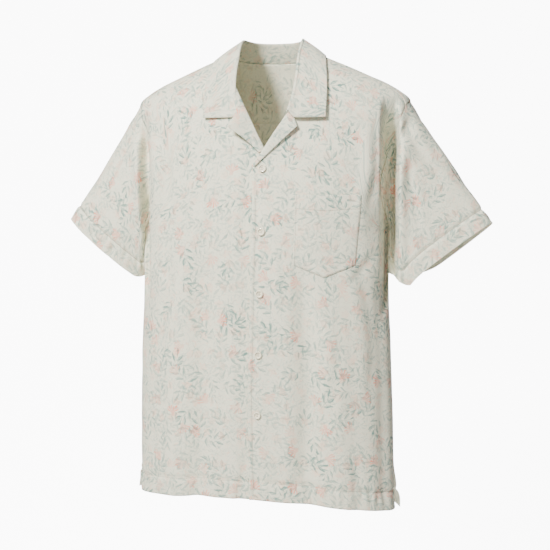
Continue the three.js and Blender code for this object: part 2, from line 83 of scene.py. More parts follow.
def addPlane(name, corners, glow):
    mesh = bpy.data.meshes.new(name)
    mesh.from_pydata(corners, [], [(0, 1, 2, 3)])
    material, tree, sockets = newMaterial(name)
    sockets["Base Color"].default_value = stage["paint"]
    sockets["Roughness"].default_value = 0.9
    sockets["Emission Color"].default_value = (1, 1, 1, 1)
    sockets["Emission Strength"].default_value = glow
    mesh.materials.append(material)
    addObject(name, mesh)


# The floor is a level square. The backdrop is a square behind the target that faces the camera.
def addStage(look):
    s, z = stage["size"] / 2, stage["floor"]
    addPlane("floor", [(-s, -s, z), (s, -s, z), (s, s, z), (-s, s, z)], 0.0)
    side = Vector((look.y, -look.x, 0)).normalized() * stage["half"]
    up = side.cross(look)
    middle = Vector(camera["target"]) + look * stage["backdrop"]
    corners = [tuple(middle + side * x + up * y) for x, y in ((-1, -1), (1, -1), (1, 1), (-1, 1))]
    addPlane("backdrop", corners, stage["glow"])
    world = bpy.data.worlds.new("studio")
    world.use_nodes = True
    sky = world.node_tree.nodes["Background"].inputs
    sky["Color"].default_value = stage["sky"]
    sky["Strength"].default_value = stage["skyStrength"]
    scene.world = world
    for name, (place, power, size) in stage["lamps"].items():
        data = bpy.data.lights.new(name, "AREA")
        data.energy, data.size, data.shape = power, size, "DISK"
        lamp = addObject(name, data)
        lamp.location = place
        lamp.rotation_euler = (Vector(stage["aim"]) - Vector(place)).to_track_quat("-Z", "Y").to_euler()


addStage(addCamera())
print("camera and stage are in place")

# Shared maths

# Rows of numbers with named columns.
def columns(names, *rows):
    return [dict(zip(names.split(), row)) for row in rows]


# A smooth curve through one column of a table, read at another: a cubic on each span, whose end
# slopes are the harmonic mean of the rises beside them, so that it never overshoots.
def through(table, key, name):
    rows = sorted(table, key=lambda row: row[key])
    at = np.array([row[key] for row in rows], float)
    value = np.array([row[name] for row in rows], float)
    rise = np.diff(value) / np.diff(at)
    same = rise[:-1] * rise[1:] > 0
    total = np.where(same, rise[:-1] + rise[1:], 1)
    slope = np.concatenate(([rise[0]], np.where(same, 2 * rise[:-1] * rise[1:] / total, 0), [rise[-1]]))

    def curve(x):
        x = np.clip(x, at[0], at[-1])
        i = np.clip(np.searchsorted(at, x, side="right") - 1, 0, len(at) - 2)
        w = at[i + 1] - at[i]
        t = (x - at[i]) / w
        return (value[i] * (1 + 2 * t) * (1 - t) ** 2 + slope[i] * w * t * (1 - t) ** 2
                + value[i + 1] * t * t * (3 - 2 * t) + slope[i + 1] * w * t * t * (t - 1))
    return curve


# Smooth step: 0 below 0, 1 above 1, 3tt - 2ttt between.
def ease(t):
    t = np.clip(t, 0, 1)
    return t * t * (3 - 2 * t)


# a at t = 0 and b at t = 1.
def mix(a, b, t):
    return a + (b - a) * t


# Vectors divided by their lengths.
def unit(v):
    return v / np.maximum(np.linalg.norm(v, axis=-1, keepdims=True), 1e-9)


# Normals of a grid: the cross product of its steps along columns and rows, turned to face out.
def gridNormals(points, outward):
    across = np.gradient(points, axis=1)
    up = np.gradient(points, axis=0)
    normal = unit(np.cross(across, up))
    middle = tuple(n // 2 for n in points.shape[:2])
    return normal if np.dot(normal[middle], outward) > 0 else -normal


# Distance run along an axis of a grid: the running sum of the steps between its points.
def runAlong(points, axis):
    step = np.linalg.norm(np.diff(points, axis=axis), axis=-1)
    first = np.zeros_like(np.take(step, [0], axis=axis))
    return np.cumsum(np.concatenate((first, step), axis=axis), axis=axis)


# Points at fractional rows and columns of a grid, by blending the four points around each.
def onGrid(points, row, column):
    row = np.clip(row, 0, points.shape[0] - 1.001)
    column = np.clip(column, 0, points.shape[1] - 1.001)
    i, j = row.astype(int), column.astype(int)
    a, b = (row - i)[..., None], (column - j)[..., None]
    return (points[i, j] * (1 - a) * (1 - b) + points[i + 1, j] * a * (1 - b)
            + points[i, j + 1] * (1 - a) * b + points[i + 1, j + 1] * a * b)


# The body's form in mm and degrees: a turn is 0 in front, 90 at the wearer's left, 180 behind

body = {
    "sections": columns("level half front back power sway", (-780, 217, 84, 105, 2.35, -10.5),
        (-700, 215, 88, 104, 2.35, -12.5), (-600, 213, 94, 102, 2.35, -13.2),
        (-480, 209, 102, 100, 2.35, -13.8), (-380, 204.5, 108, 102, 2.35, -13.7),
        (-290, 204, 112, 106, 2.35, -12), (-230, 211, 111, 110, 2.35, -7), (-165, 222, 106, 112, 2.35, -2),
        (-100, 228, 95, 109, 2.3, 0), (-76, 222, 88, 106, 2.2, 0), (-63, 207, 84, 102, 2.15, 0),
        (-50, 185.5, 79, 98, 2.1, 0), (-36, 155, 72, 92, 2.05, 0), (-20, 119, 64, 84, 2, 0),
        (-10, 95, 58, 78, 2, 0), (0, 74, 52, 72, 2, 0), (8, 60, 42, 60, 2, 0), (40, 12, 8, 12, 2, 0)),
    "centre": columns("level x", (-760, -10), (-577, -11), (-477, -8), (-381, -5), (-285, -1.5), (-188, 0),
        (-100, 0)),
    "neck": columns("turn level", (10.2, -103), (13.5, -72), (19.5, -45), (31, -22), (46, -10), (65, -4),
        (90, 0), (120, -2.6), (150, -4.5), (180, -5)),
    "armhole": columns("level front back", (-287, 90, 90), (-284, 82.5, 97.5), (-277, 75, 105),
        (-266, 68.5, 111.5), (-252, 63, 116.5), (-234, 58.5, 120.5), (-212, 55, 123.5), (-188, 53.5, 124.8),
        (-163, 54, 124.3), (-138, 56.5, 121.5), (-118, 60, 117.5), (-102, 64.5, 112.5), (-86, 70, 106),
        (-79.5, 79, 99), (-76.5, 90, 90)),
    "armpit": -287,
    # levels of the fronts' inner edges at the armhole's rows
    "inner": (-287, -264, -240, -212, -184, -157, -130, -103, -72, -45, -22, -10, -4),
    "folds": columns("turn lean width depth top bottom", (-24, 0.6, 6, 5.5, -300, -800),
        (-38, 0.4, 6, -3.5, -330, -800), (20, -0.5, 6, 5.5, -325, -800), (34, -0.6, 6, -3.5, -390, -800),
        (66, 0.4, 7, 4, -330, -800), (47, -1, 6, -4.5, -110, -330), (-47, 1, 6, -4.5, -110, -330),
        (150, 0.7, 7, 6, -260, -800), (172, -0.5, 6, -3.5, -360, -800), (201, -0.6, 7, 6, -300, -800),
        (228, 0.4, 6, 4.5, -240, -640)),
    "valleys": columns("inner outer steep slow depth ridge top taper bottom",
        (177, 210, 9, 12, 52, 5, -68, 75, -430), (-192, -217, 8, 12, 20, 2, -90, 60, -410)),
    # creases, as lines in x and height on the front: start, end, half width, depth
    "frontCreases": columns("ax az bx bz width depth", (-150, -300, -178, -480, 9, 2.2),
        (-60, -420, -84, -640, 8, 1.6), (-172, -120, -158, -250, 8, 3.2), (176, -118, 160, -262, 8, 3.6),
        (150, -330, 172, -560, 9, 2.4), (120, -420, 96, -600, 9, 1.5), (-70, -230, -110, -330, 8, 1.4),
        (-186, -330, -140, -380, 7, 1.5), (172, -318, 132, -372, 7, 1.6), (-30, -640, -46, -735, 7, 1.6),
        (60, -650, 74, -740, 7, 1.4), (140, -640, 150, -742, 7, 1.8), (-130, -650, -118, -735, 7, 1.5),
        (100, -60, 150, -108, 7, 1.1), (-105, -62, -152, -112, 7, 1.1), (28, -300, 34, -420, 6, 1.0),
        (-26, -205, -34, -300, 6, 0.9), (-100, -320, -108, -730, 17, 4.2), (58, -280, 62, -730, 15, 3.6),
        (-160, -150, -166, -330, 12, 2.0)),
    "backCreases": columns("ax az bx bz width depth", (-150, -150, -162, -290, 9, 3.0),
        (152, -140, 160, -280, 9, 3.0), (-60, -300, -84, -520, 9, 1.8), (70, -350, 50, -600, 9, 1.8),
        (-130, -480, -120, -700, 8, 1.6), (128, -470, 140, -690, 8, 1.6), (0, -600, 8, -735, 8, 1.4),
        (-30, -150, -10, -230, 8, 1.0)),
}
halfAt, frontAt, backAt, powerAt, swayAt = (
    through(body["sections"], "level", name) for name in ("half", "front", "back", "power", "sway"))
centreAt = through(body["centre"], "level", "x")
neckLevel = through(body["neck"], "turn", "level")


# A column of the armhole's table at k rows up from the armpit.
def armholeAt(k, name):
    return np.interp(k, np.arange(len(body["armhole"])), [row[name] for row in body["armhole"]])


# A rounded section at each level: x is half width times r sin(turn), y is minus depth times
# r cos(turn), where r makes |x|^power + |y|^power of the unit section equal 1.
def bodyForm(turn, level):
    turn, level = np.broadcast_arrays(np.radians(turn), np.asarray(level, float))
    s, c, p = np.sin(turn), np.cos(turn), powerAt(level)
    r = (np.abs(s) ** p + np.abs(c) ** p) ** (-1 / p)
    depth = np.where(c > 0, frontAt(level), backAt(level))
    return np.stack((swayAt(level) + halfAt(level) * r * s, -depth * r * c, level), axis=-1)


# The way out of the form: the cross product of its slopes along turn and level.
def bodyNormal(turn, level):
    across = bodyForm(turn + 0.5, level) - bodyForm(turn - 0.5, level)
    return unit(np.cross(across, bodyForm(turn, level + 0.5) - bodyForm(turn, level - 0.5)))


# Points moved out of the form by a distance along its normals.
def onBody(turn, level, out):
    return bodyForm(turn, level) + bodyNormal(turn, level) * np.asarray(out)[..., None]


# Largest folds: each a bell across its turn, leaning with height and fading at both ends.
def foldOut(turn, level):
    around = np.where(turn < -90, turn + 360, turn)
    out = 0
    for f in body["folds"]:
        middle = f["turn"] + f["lean"] * (level - f["top"]) / 100
        fade = ease((f["top"] - level) / 90) * ease((level - f["bottom"]) / 90)
        out = out - f["depth"] * fade * np.exp(-((around - middle) / f["width"]) ** 2)
    return out


# Creases: for each line, a bell of the distance from it, tapering to both ends and bowed a
# little, with a lower ridge beside it where the cloth is pushed up.
def creaseOut(x, z, table):
    out = np.zeros(np.broadcast(x, z).shape)
    for c in table:
        run = np.array([c["bx"] - c["ax"], c["bz"] - c["az"]], float)
        length = np.hypot(*run)
        along = ((x - c["ax"]) * run[0] + (z - c["az"]) * run[1]) / length ** 2
        off = ((x - c["ax"]) * run[1] - (z - c["az"]) * run[0]) / length
        off = off + 0.05 * length * np.sin(np.pi * np.clip(along, -0.2, 1.2)) - 0.02 * length
        fade = ease((along + 0.12) / 0.4) * ease((1.12 - along) / 0.4)
        trough = np.exp(-(off / c["width"]) ** 2)
        ridge = 0.55 * np.exp(-((off - 1.9 * c["width"]) / (1.1 * c["width"])) ** 2)
        out -= c["depth"] * fade * (trough - ridge)
    return out


# The deep upright folds where each sleeve hangs beside the body, the same for front and sleeve.
# The cloth goes back between an inner and an outer x by smooth steps as wide as steep and slow,
# with a ridge beyond it; less where the cloth is near the side's middle already.
def valley(points):
    points = points.copy()
    x, y, z = points[..., 0].copy(), points[..., 1].copy(), points[..., 2]
    for v in body["valleys"]:
        far = x * np.sign(v["inner"])
        inner, outer = abs(v["inner"]), abs(v["outer"])
        dip = ease((far - inner) / v["steep"]) * ease((outer - far) / v["slow"])
        ridge = v["ridge"] * np.exp(-((far - outer - 2) / 8) ** 2)
        fade = ease((v["top"] - z) / v["taper"]) * ease((z - v["bottom"]) / 50) * ease((-5 - y) / 40)
        points[..., 1] += fade * (v["depth"] * dip - ridge)
    return points


# Low uneven ripple: a sum of sines of two coordinates with fixed sizes, about 1 high.
def ripple(a, b, size, seed):
    out = 0
    for k in range(5):
        turn = seed * 1.7 + k * 2.4
        wave = size * (0.7 + 0.23 * k)
        out = out + np.sin((a * np.cos(turn) + b * np.sin(turn)) * 2 * np.pi / wave + seed + 3.1 * k)
    return out / 3


# The turn of the front's point with this x: the section solved for cos(turn).
def turnAt(x, level):
    across = np.clip((x - swayAt(level)) / halfAt(level), -0.999, 0.999)
    p = powerAt(level)
    return np.degrees(np.arctan2(across, (1 - np.abs(across) ** p) ** (1 / p)))


# Points nearer to the body than clear are moved off it: the distance is the section's value less
# 1, divided by its slope, and the way out is that slope.
def liftOff(points, clear):
    def value(q):
        x, y, z = q[..., 0], q[..., 1], q[..., 2]
        p, depth = powerAt(z), np.where(y < 0, frontAt(z), backAt(z))
        return (np.abs((x - swayAt(z)) / halfAt(z)) ** p + np.abs(y / depth) ** p) ** (1 / p) - 1
    points = points.copy()
    for _ in range(4):
        slope = np.stack([value(points + 0.5 * e) - value(points - 0.5 * e) for e in np.eye(3)], axis=-1)
        size = np.linalg.norm(slope, axis=-1)
        short = np.maximum(clear - value(points) / size, 0)
        points += slope / size[..., None] * short[..., None]
    return points


print("body form is ready")

# Cloth, thread and button materials


# A socket of a material's node tree, so that shader maths is written as plain expressions.
class Wire:
    def __init__(self, tree, socket):
        self.tree, self.socket = tree, socket

    def make(self, kind, settings=None, values=None, out=0):
        node = self.tree.nodes.new(kind)
        for name, value in (settings or {}).items():
            setattr(node, name, value)
        for key, value in (values or {}).items():
            if isinstance(value, Wire):
                self.tree.links.new(value.socket, node.inputs[key])
            else:
                node.inputs[key].default_value = value
        return Wire(self.tree, node.outputs[out])

    def maths(self, operation, *values):
        return self.make("ShaderNodeMath", {"operation": operation}, dict(enumerate(values)))

    def vector(self, operation, *values):
        return self.make("ShaderNodeVectorMath", {"operation": operation}, dict(enumerate(values)))

    def blend(self, other, amount):
        return self.make("ShaderNodeMix", {"data_type": "RGBA"}, {"Factor": amount, 6: self, 7: other}, 2)

    def flatNoise(self, scale, detail, out=0):
        values = {"Vector": self, "Scale": scale, "Detail": detail}
        return self.make("ShaderNodeTexNoise", {"noise_dimensions": "2D"}, values, out)

    def parts(self):
        node = self.make("ShaderNodeSeparateXYZ", None, {0: self}).socket.node
        return [Wire(self.tree, socket) for socket in node.outputs]

    # 0 below low, 1 above high
    def between(self, low, high):
        return self.make("ShaderNodeMapRange", {"interpolation_type": "SMOOTHSTEP"},
                         {"Value": self, "From Min": low, "From Max": high})

    # link to a socket of the finished shader
    def feed(self, socket):
        self.tree.links.new(self.socket, socket)


# The operators and steps of a wire that are one Math node each, and the operators' reflected forms.
mathNodes = {"__add__": "ADD", "__sub__": "SUBTRACT", "__mul__": "MULTIPLY", "__pow__": "POWER",
             "__gt__": "GREATER_THAN", "__lt__": "LESS_THAN", "sine": "SINE", "cosine": "COSINE",
             "size": "ABSOLUTE", "atMost": "MINIMUM", "atLeast": "MAXIMUM"}
reflectedNodes = {"__radd__": "ADD", "__rsub__": "SUBTRACT", "__rmul__": "MULTIPLY"}
for method, operation in mathNodes.items():
    setattr(Wire, method, lambda self, *other, kind=operation: self.maths(kind, self, *other))
for method, operation in reflectedNodes.items():
    setattr(Wire, method, lambda self, other, kind=operation: self.maths(kind, other, self))


cloth = {
    "ground": (0.70, 0.678, 0.51, 1), "green": (0.19, 0.31, 0.255, 1), "deepGreen": (0.07, 0.15, 0.125, 1),
    "coral": (0.80, 0.21, 0.13, 1), "pink": (0.86, 0.42, 0.27, 1), "beige": (0.42, 0.37, 0.25, 1),
    # the hem's stitch line colour: the stitching, and painted shade of the crease it pulls in
    "stitchLineShade": (0.36, 0.32, 0.23, 1), "dull": (0.45, 0.44, 0.39, 1), "pale": (0.86, 0.86, 0.82, 1),
    "roughness": 0.86, "thread": 0.55, "weaveBump": 0.10, "sheen": 0.12, "specular": 0.25,
}

# Thin stems, in mm: size of the noise they follow, its value on them, half width, colour, strength
stems = columns("size value width colour strength", (13, 0.44, 0.02, "beige", 0.36),
    (10, 0.62, 0.02, "pink", 0.40), (17, 0.56, 0.014, "green", 0.45), (8, 0.36, 0.02, "green", 0.34))
# A sprig's stem, in mm: its bend, half width and ends, and how far on the leaves of one side stand
stem = {"bend": 0.016, "half": 0.34, "from": -13.0, "to": 9.0, "stagger": 2.4}
# Sprigs printed on the cloth, in mm: cell of the uneven lattice, size, share of cells, seed, strength
sprigs = columns("cell size share seed strength", (36, 1.28, 0.85, 0.0, 1.0), (27, 1.05, 0.8, 37.0, 0.8),
    (18, 0.66, 0.8, 81.0, 0.5))
# Leaves of a sprig, in mm: middle along and beside the stem, slant in degrees, half length, half width
leaves = columns("x y slant length width", (-4.0, 5.2, 50, 6.2, 1.7), (5.0, 4.8, 34, 6.6, 1.8),
    (13.5, 0, 0, 6.4, 1.7))
# Flowers printed on the cloth, in mm: cell, radius, petals, fan (1 a half round fan, 0 a full round),
# share, seed, colour, strength
flowers = columns("cell radius petals fan share seed colour strength",
    (48, 15, 5, 1, 0.7, 11.0, "coral", 0.78), (36, 7.0, 5, 0, 0.55, 53.0, "pink", 0.5),
    (27, 10, 4, 1, 0.5, 97.0, "pink", 0.62))


# Place of each motif: the nearest point of an uneven lattice, and the way to it turned by that
# point's own angle.
def motif(flat, cell, seed):
    moved = flat.vector("ADD", flat, (seed, seed * 1.3, 0))
    settings = {"feature": "F1", "voronoi_dimensions": "2D"}
    values = {"Vector": moved, "Scale": 1 / cell, "Randomness": 0.75}
    node = flat.make("ShaderNodeTexVoronoi", settings, values).socket.node
    x, y, _ = flat.vector("SUBTRACT", moved, Wire(flat.tree, node.outputs["Position"])).parts()
    red, green, blue = Wire(flat.tree, node.outputs["Color"]).parts()
    angle = red * (2 * math.pi)
    c, s = angle.cosine(), angle.sine()
    return x * c + y * s, y * c - x * s, green, blue


# A sprig: a bent stem with leaves in pairs, those on one side set a little further on, and one at
# the tip. A leaf is a lens: half width times 1 minus (along / half length) squared, less the
# distance from its middle line; one half of it is darker than the other.
def sprigInk(flat, row):
    x, y, pick, tone = motif(flat, row["cell"], row["seed"])
    x, y = x * (1 / row["size"]), y * (1 / row["size"])
    y = y - x * x * stem["bend"]
    x = x + stem["stagger"] * (y > 0)
    side = y.size()
    ink = (stem["half"] - side).between(0, 0.3) * (x > stem["from"]) * (x < stem["to"]) * 0.75
    for leaf in leaves:
        c, s = math.cos(math.radians(leaf["slant"])), math.sin(math.radians(leaf["slant"]))
        length, width = leaf["length"], leaf["width"]
        along = x * (c / length) + side * (s / length) - (leaf["x"] * c + leaf["y"] * s) / length
        off = side * c - x * s + (leaf["x"] * s - leaf["y"] * c)
        room = width - along * along * width - off.size()
        line = (0.75 - room).between(0, 0.5) * 0.35
        ink = ink.atLeast(room.between(0, 0.3) * (0.45 + 0.3 * (off > 0) + line))
    return ink * (pick < row["share"]) * row["strength"] * (0.6 + tone * 0.55)


# A flower: petals where the radius is under a rim that waves with the angle, hatched by fine
# rays, with a line along the rim. A fan keeps only the angles ahead of it.
def flowerInk(flat, row):
    x, y, pick, tone = motif(flat, row["cell"], row["seed"])
    size, fan = row["radius"], row["fan"]
    if fan:
        x = x + size * 0.5
    radius = (x * x + y * y) ** 0.5
    angle = y.maths("ARCTAN2", y, x)
    petal = (angle * (row["petals"] / (1 if fan else 2))).cosine().size() ** 0.5
    rim = size * (0.66 + 0.34 * petal)
    inside = (rim - radius).between(0, 0.5)
    if fan:
        inside = inside * (1.15 - angle.size()).between(0, 0.12)
    line = inside * (radius - rim + 1.3).between(0, 0.5)
    rays = (angle * (17 if fan else 15)).sine().between(-0.1, 0.6) * (radius > size * 0.22)
    eye = (size * 0.24 - radius).between(0, 0.6)
    ink = inside * (0.08 + rays * 0.85) + line * 0.25 + eye * 0.4
    return ink.atMost(1) * (pick < row["share"]) * row["strength"] * (0.65 + tone * 0.5)


# Thin curving stems: the lines where a slow noise passes one of its values.
def stemInk(flat, row):
    off = (flat.flatNoise(1 / row["size"], 0.0) - row["value"]).size()
    return (row["width"] - off).between(0, row["width"] * 0.6)


# Cloth: an off-white ground with the printed sprigs and flowers on the piece's flat measures, a plain weave
# as fine crossing waves, and thread-to-thread unevenness. The ground is multiplied by paintedLight: above 1
# it is painted light, below 1 painted shade. A seam is the run at which a hem is stitched, drawn as a thin
# darker line: the stitching, and painted shade of the crease it pulls in.
def clothMaterial(name, strength, paintedLight=1.0, seam=None):
    material, tree, shader = newMaterial(name)
    start = Wire(tree, tree.nodes.new("ShaderNodeUVMap").outputs[0])
    flat = start.vector("SCALE", start)
    flat.socket.node.inputs["Scale"].default_value = 1000
    wobble = flat.vector("SUBTRACT", flat.flatNoise(0.16, 1.0, 1), (0.5, 0.5, 0.5))
    moved = flat.vector("ADD", flat, flat.vector("MULTIPLY", wobble, (3, 3, 0)))
    amount = flat.flatNoise(0.02, 1.0).between(0.30, 0.66) * 0.45 + 0.68
    fine = flat.flatNoise(0.9, 2.0)
    slub = flat.vector("MULTIPLY", flat, (0.12, 2.2, 1)).flatNoise(1.0, 2.0)
    color = start.make("ShaderNodeRGB")
    # the ground times paintedLight: above 1 painted light, below 1 painted shade
    color.socket.default_value = tuple(c * paintedLight for c in cloth["ground"][:3]) + (1,)
    for row in stems:
        color = color.blend(cloth[row["colour"]], stemInk(flat, row) * row["strength"] * strength)
    for row in sprigs:
        ink = sprigInk(moved, row) * amount * strength
        color = color.blend(cloth["green"], ink)
        color = color.blend(cloth["deepGreen"], (ink - 0.45 * strength).atLeast(0) * 0.9)
    for row in flowers:
        color = color.blend(cloth[row["colour"]], flowerInk(moved, row) * amount * strength)
    tone = (fine - 0.5) * 0.10 + (slub - 0.5) * 0.10
    color = color.blend(cloth["dull"], tone.atLeast(0))
    color = color.blend(cloth["pale"], (0 - tone).atLeast(0) * 1.6)
    u, v, _ = flat.parts()
    if seam:
        # a thin darker line at the hem's stitch run: stitching plus painted shade of its crease
        color = color.blend(cloth["stitchLineShade"], (0.85 - (v - seam).size()).between(0, 0.4) * 0.85)
    color.feed(shader["Base Color"])
    step = 2 * math.pi / cloth["thread"]
    weave = (u * step).sine() * (v * step).sine() + (fine - 0.5) * 0.8
    values = {"Strength": cloth["weaveBump"], "Distance": 0.00012, "Height": weave}
    start.make("ShaderNodeBump", None, values).feed(shader["Normal"])
    (cloth["roughness"] + (fine - 0.5) * 0.1).feed(shader["Roughness"])
    shader["Sheen Weight"].default_value = cloth["sheen"]
    shader["Sheen Roughness"].default_value = 0.5
    shader["Specular IOR Level"].default_value = cloth["specular"]
    return material


# A smooth material whose roughness and colour vary a little over the object.
def plainMaterial(name, color, roughness, coat, scale):
    material, tree, shader = newMaterial(name)
    place = Wire(tree, tree.nodes.new("ShaderNodeTexCoord").outputs["Object"])
    noise = place.make("ShaderNodeTexNoise", None, {"Vector": place, "Scale": scale, "Detail": 3.0})
    base = place.make("ShaderNodeRGB")
    base.socket.default_value = color
    dark = tuple(c * 0.82 for c in color[:3]) + (1,)
    base.blend(dark, noise.between(0.35, 0.75) * 0.6).feed(shader["Base Color"])
    (roughness + (noise - 0.5) * 0.2).feed(shader["Roughness"])
    values = {"Strength": 0.1, "Distance": 0.0002, "Height": noise}
    place.make("ShaderNodeBump", None, values).feed(shader["Normal"])
    shader["Coat Weight"].default_value = coat
    return material


bodyCloth = clothMaterial("printedCloth", 1.0)
sleeveHem = 27  # run from the cuff to the hem's stitches, in mm
sleeveCloth = clothMaterial("sleeveCloth", 1.0, seam=sleeveHem)
# collar and lapels: the print a little fainter, and the ground 5% darker as painted shade
collarClothPaintedShade = clothMaterial("collarClothPaintedShade", 0.96, 0.95)
# the inside: faint print, as on the cloth's wrong side, and the ground 14% lighter as painted light
insideClothPaintedLight = clothMaterial("insideClothPaintedLight", 0.42, 1.14)
# thread darker than the cloth: the stitches, and painted shade of the creases they pull in
threadLookCreaseShade = plainMaterial("thread", (0.36, 0.33, 0.26, 1), 0.8, 0.0, 900)
buttonLook = plainMaterial("buttonShell", (0.80, 0.73, 0.54, 1), 0.38, 0.25, 260)
print("materials are ready")

# Mesh making

pieces, grids = {}, {}


# Every piece rides on the root body.
def handIn(made):
    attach(made, "root")
    return made


# A grid of points in mm as a mesh of quads that face out, with the flat measures as its UV map
# and the cloth's thickness as a modifier. The grid and its normals are kept for the stitching.
def clothPiece(name, points, flat, outward, material, inside, thick=0.7):
    rows, cols = points.shape[:2]
    index = np.arange(rows * cols).reshape(rows, cols)
    corners = (index[:-1, :-1], index[:-1, 1:], index[1:, 1:], index[1:, :-1])
    quads = np.stack(corners, axis=-1).reshape(-1, 4)
    i, j = rows // 2, cols // 2
    if np.dot(np.cross(points[i, j + 1] - points[i, j], points[i + 1, j] - points[i, j]), outward) < 0:
        quads = quads[:, ::-1]
    mesh = bpy.data.meshes.new(name)
    mesh.vertices.add(rows * cols)
    mesh.vertices.foreach_set("co", (points.reshape(-1) * 0.001).astype(np.float32))
    mesh.loops.add(quads.size)
    mesh.loops.foreach_set("vertex_index", quads.reshape(-1).astype(np.int32))
    mesh.polygons.add(len(quads))
    mesh.polygons.foreach_set("loop_start", np.arange(0, quads.size, 4, dtype=np.int32))
    mesh.polygons.foreach_set("use_smooth", np.ones(len(quads), bool))
    layer = mesh.uv_layers.new(name="flat")
    places = flat.reshape(-1, 2)[quads.reshape(-1)] * 0.001
    layer.uv.foreach_set("vector", places.astype(np.float32).reshape(-1))
    mesh.update(calc_edges=True)
    mesh.validate()
    mesh.materials.append(material)
    mesh.materials.append(inside)
    made = addObject(name, mesh)
    solid = made.modifiers.new("thickness", "SOLIDIFY")
    solid.thickness, solid.offset, solid.material_offset = thick * 0.001, 0, 1
    pieces[name], grids[name] = made, (points, gridNormals(points, outward))
    return handIn(made)


# Stitches along a path: boxes of 8 corners, each centred on the path and laid along it.
def stitchPiece(name, paths, pitch=3.0, length=2.3, size=0.52):
    corners = np.array([(x, y, z) for x in (-0.5, 0.5) for y in (-0.5, 0.5) for z in (-0.5, 0.5)])
    faces = np.array([(0, 1, 3, 2), (4, 6, 7, 5), (0, 4, 5, 1), (2, 3, 7, 6), (0, 2, 6, 4), (1, 5, 7, 3)])
    boxes = []
    for path, normal in paths:
        run = runAlong(path[None], 1)[0]
        at = np.arange(pitch / 2, run[-1], pitch)

        def along(values, shift=0):
            return np.stack([np.interp(at + shift, run, values[:, k]) for k in range(3)], axis=-1)
        ahead, top = unit(along(path, 1) - along(path, -1)), unit(along(normal))
        side = np.cross(top, ahead)
        box = (corners[None, :, 0:1] * ahead[:, None] * length + corners[None, :, 1:2] * side[:, None] * size
               + corners[None, :, 2:3] * top[:, None] * size * 0.7 + along(path)[:, None])
        boxes.append(box.reshape(-1, 3))
    points = np.concatenate(boxes)
    quads = (faces[None] + 8 * np.arange(len(points) // 8)[:, None, None]).reshape(-1, 4)
    mesh = bpy.data.meshes.new(name)
    mesh.from_pydata((points * 0.001).tolist(), [], quads.tolist())
    mesh.materials.append(threadLookCreaseShade)
    return handIn(addObject(name, mesh))


# Hem shared by fronts, back and sleeves

hem = {"side": -738.5, "slant": 7.5, "rise": 20, "back": -745, "ventTop": -684, "flare": 8,
       "depth": 31, "groove": 1.4, "grooveWidth": 3.2, "step": 0.4, "pucker": 1.15, "wave": 14,
       "strength": 1.6, "sleeves": 1.5}


# Hem height: level at the sides with a slant across, raised by a squared cosine at the front.
def hemLevel(turn):
    s, c = np.sin(np.radians(turn)), np.cos(np.radians(turn))
    side = hem["side"] - hem["slant"] * s
    return np.where(c > 0, side + hem["rise"] * c * c, mix(side, hem["back"], c * c))


# Relief of a turned hem at a distance from its edge: a groove at the stitch line, with small
# puckers that die away on both sides of it.
def hemOut(distance, along, seed, depth):
    groove = -hem["groove"] * np.exp(-((distance - depth) / hem["grooveWidth"]) ** 2)
    groove = groove + hem["step"] * ease((depth - distance) / 3)
    near = np.exp(-((distance - depth * 0.75) / (depth * 0.55)) ** 2)
    return groove + hem["pucker"] * near * ripple(along, distance * 0.25, hem["wave"], seed)


# Fronts: in gorgeX, roll and lift, 1 is the wearer's left and -1 the right

fronts = {"overlap": 15, "break": -184, "gorge": -103, "gorgeX": {1: 40, -1: 26}, "tuck": 2.4,
          "rows": (150, 100), "columns": 96, "seamShort": 0.05, "chest": 150, "printShift": 13.0}
lapels = {
    "left": columns("along width", (1, 2.5), (30, 9), (60, 16.5), (87.5, 23.4), (92, 16.6), (96.6, 10)),
    "right": columns("along width", (28, 8), (55, 19.5), (70, 27.5), (81, 34), (90, 23.4), (99.4, 12.6),
        (125, 8), (146, 3)),
    "turned": -8, "rows": 60, "roll": {1: 7.5, -1: 1.0}, "lift": {1: 3.5, -1: 12.0},
}


# The roll line's x at a level: straight from the overlap's edge at the break to the gorge.
def rollX(level, side):
    share = (level - fronts["break"]) / (fronts["gorge"] - fronts["break"])
    return mix(-fronts["overlap"], fronts["gorgeX"][side], share)


# The right front dips under the left one where they lap over.
def tuckOut(turn, level, side):
    if side > 0:
        return 0
    return -fronts["tuck"] * ease((bodyForm(turn, level)[..., 0] - centreAt(level) + 44) / 25)


# The cloth swells out along the roll line, where the lapel turns: a bell of the distance from it.
def rollOut(x, level, side):
    off = x - rollX(level, side)
    fade = ease((level - fronts["break"] - 6) / 50) * ease((-60 - level) / 40)
    return lapels["roll"][side] * fade * np.exp(-(off / 22) ** 2)


# Relief of a front: the body's folds and creases, a soft ripple, the turned hem, and a valley
# beside the overlap's edge where the stitching holds it.
def frontRelief(turn, level, side):
    x = bodyForm(turn, level)[..., 0]
    out = foldOut(turn, level) + tuckOut(turn, level, side) + creaseOut(x, level, body["frontCreases"])
    out = out + 0.35 * ripple(x, level, 74, 2.0 + side)
    out = out + hem["strength"] * hemOut(level - hemLevel(turn), x, 3.0 + side, hem["depth"])
    if side > 0:
        edge = x - centreAt(level) + fronts["overlap"]
        out = out + ease((fronts["break"] + 20 - level) / 40) * (
            0.8 * np.exp(-(edge / 3) ** 2) - 1.5 * np.exp(-((edge - 8) / 5) ** 2))
    return out + rollOut(side * x, level, side)


